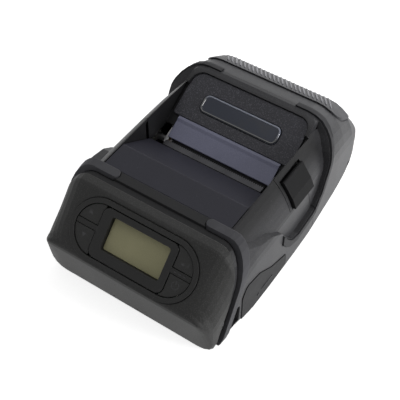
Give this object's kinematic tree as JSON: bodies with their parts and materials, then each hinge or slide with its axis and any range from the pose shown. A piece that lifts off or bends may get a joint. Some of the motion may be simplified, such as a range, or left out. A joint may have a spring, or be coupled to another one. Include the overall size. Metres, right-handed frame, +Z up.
{
  "type": "portable receipt printer",
  "caption": "Battery receipt printer with a hinged rear cover, a tilted key panel with a small display, a release button, a port flap and a geared platen over a print head.",
  "frame": {"origin": "centre of the bottom of the bounding box, on the plane the printer rests on", "axes": "+X to the right seen from the keys, +Y from the key panel towards the cover hinge, +Z up"},
  "size_m": [0.1052, 0.1604, 0.0615],
  "materials": {
    "battery_plastic": "moulded, dark blue grey",
    "bright_steel": "bright",
    "bumper_rubber": "matt",
    "bush_bronze": "sintered",
    "case_plastic": "fine matt texture, charcoal",
    "cast_aluminium": "satin",
    "circuit_board": "solder mask, green",
    "deck_plastic": "smooth satin, near black",
    "display_lens": "glossy clear lens",
    "display_panel": "olive display",
    "exit_plastic": "satin, blue grey",
    "fascia_plastic": "fine matt texture, warm charcoal",
    "gear_nylon": "natural nylon",
    "head_ceramic": "glazed",
    "inner_plastic": "moulded, black",
    "key_rubber": "matt",
    "plate_plastic": "fine sparkling texture, dark grey",
    "platen_rubber": "ground matt",
    "smoked_window": "glossy smoked"
  },
  "bodies": {
    "printer": {"base_tray": "case_plastic", "battery_pack": "battery_plastic", "board_screw_left": "bright_steel", "board_screw_right": "bright_steel", "dc_jack": "inner_plastic", "deck_cover": "deck_plastic", "display_bezel": "fascia_plastic", "front_bumper_left": "bumper_rubber", "front_bumper_right": "bumper_rubber", "front_case": "case_plastic", "front_fascia": "fascia_plastic", "head_heat_sink": "cast_aluminium", "head_spring_left": "bright_steel", "head_spring_right": "bright_steel", "hinge_pin": "bright_steel", "idler_pin": "bright_steel", "key_board": "circuit_board", "keypad_ring": "fascia_plastic", "latch_catch": "bright_steel", "lcd_panel": "display_panel", "lcd_window": "display_lens", "main_board": "circuit_board", "mechanism_frame": "bright_steel", "paper_cradle": "inner_plastic", "paper_sensor": "inner_plastic", "port_board": "circuit_board", "print_head": "head_ceramic", "serial_socket": "inner_plastic", "side_trim_left": "bumper_rubber", "side_trim_right": "bumper_rubber", "stepper_motor": "inner_plastic", "strap_bar_left": "bright_steel", "strap_bar_right": "bright_steel", "tear_bar": "bright_steel", "usb_socket": "cast_aluminium"},
    "cover": {"rear_cover": "case_plastic", "cover_plate": "plate_plastic", "cover_window": "smoked_window", "exit_bar": "exit_plastic", "rear_grip": "case_plastic", "rear_bumper_left": "bumper_rubber", "rear_bumper_right": "bumper_rubber", "platen_bracket": "bright_steel", "bush_left": "bush_bronze", "bush_right": "bush_bronze", "latch_pin": "bright_steel"},
    "platen": {"platen_roller": "platen_rubber", "platen_shaft": "bright_steel", "platen_gear": "gear_nylon"},
    "idler": {"idler_gear": "gear_nylon"},
    "pinion": {"motor_pinion": "bright_steel"},
    "button": {"release_button": "case_plastic", "button_spring": "bright_steel"},
    "latch": {"latch_hook": "bright_steel"},
    "up_key": {"key_up": "key_rubber"},
    "feed_key": {"key_feed": "key_rubber"},
    "enter_key": {"key_enter": "key_rubber"},
    "power_key": {"key_power": "key_rubber"},
    "door": {"battery_door": "case_plastic"},
    "flap": {"port_cover": "bumper_rubber"}
  },
  "joints": [
    {"name": "cover_hinge", "type": "hinge", "parent": "printer", "child": "cover", "pos_m": [0, 0.068, 0.008], "axis": [-1, 0, 0], "range_deg": [0, 75]},
    {"name": "platen_spin", "type": "hinge", "parent": "cover", "child": "platen", "pos_m": [0, 0.0075, 0.0325], "axis": [1, 0, 0], "continuous": true},
    {"name": "idler_spin", "type": "hinge", "parent": "printer", "child": "idler", "pos_m": [0, -0.00034, 0.02466], "axis": [1, 0, 0], "continuous": true},
    {"name": "pinion_spin", "type": "hinge", "parent": "printer", "child": "pinion", "pos_m": [0, -0.00768, 0.01933], "axis": [1, 0, 0], "continuous": true},
    {"name": "button_push", "type": "slide", "parent": "cover", "child": "button", "axis": [-0.9511, 0, -0.309], "range_m": [0, 0.0015], "stiffness_N_per_m": 800},
    {"name": "latch_swing", "type": "hinge", "parent": "cover", "child": "latch", "pos_m": [0, 0.015, 0.043], "axis": [1, 0, 0], "range_deg": [0, 6]},
    {"name": "up_press", "type": "slide", "parent": "printer", "child": "up_key", "axis": [0, 0.7096, -0.7046], "range_m": [0, 0.0006], "stiffness_N_per_m": 900},
    {"name": "feed_press", "type": "slide", "parent": "printer", "child": "feed_key", "axis": [0, 0.7096, -0.7046], "range_m": [0, 0.0006], "stiffness_N_per_m": 900},
    {"name": "enter_press", "type": "slide", "parent": "printer", "child": "enter_key", "axis": [0, 0.7096, -0.7046], "range_m": [0, 0.0006], "stiffness_N_per_m": 900},
    {"name": "power_press", "type": "slide", "parent": "printer", "child": "power_key", "axis": [0, 0.7096, -0.7046], "range_m": [0, 0.0006], "stiffness_N_per_m": 900},
    {"name": "door_slide", "type": "slide", "parent": "printer", "child": "door", "axis": [0, -1, 0], "range_m": [0, 0.008]},
    {"name": "flap_swing", "type": "hinge", "parent": "printer", "child": "flap", "pos_m": [0.0524, -0.0306, 0.0049], "axis": [0, 1, 0], "range_deg": [0, 85]}
  ],
  "couplings": [
    {"joint": "idler_spin", "follows": "platen_spin", "ratio": -0.83333},
    {"joint": "pinion_spin", "follows": "platen_spin", "ratio": 1.6667},
    {"joint": "latch_swing", "follows": "button_push", "rad_per_m": 69.813}
  ]
}
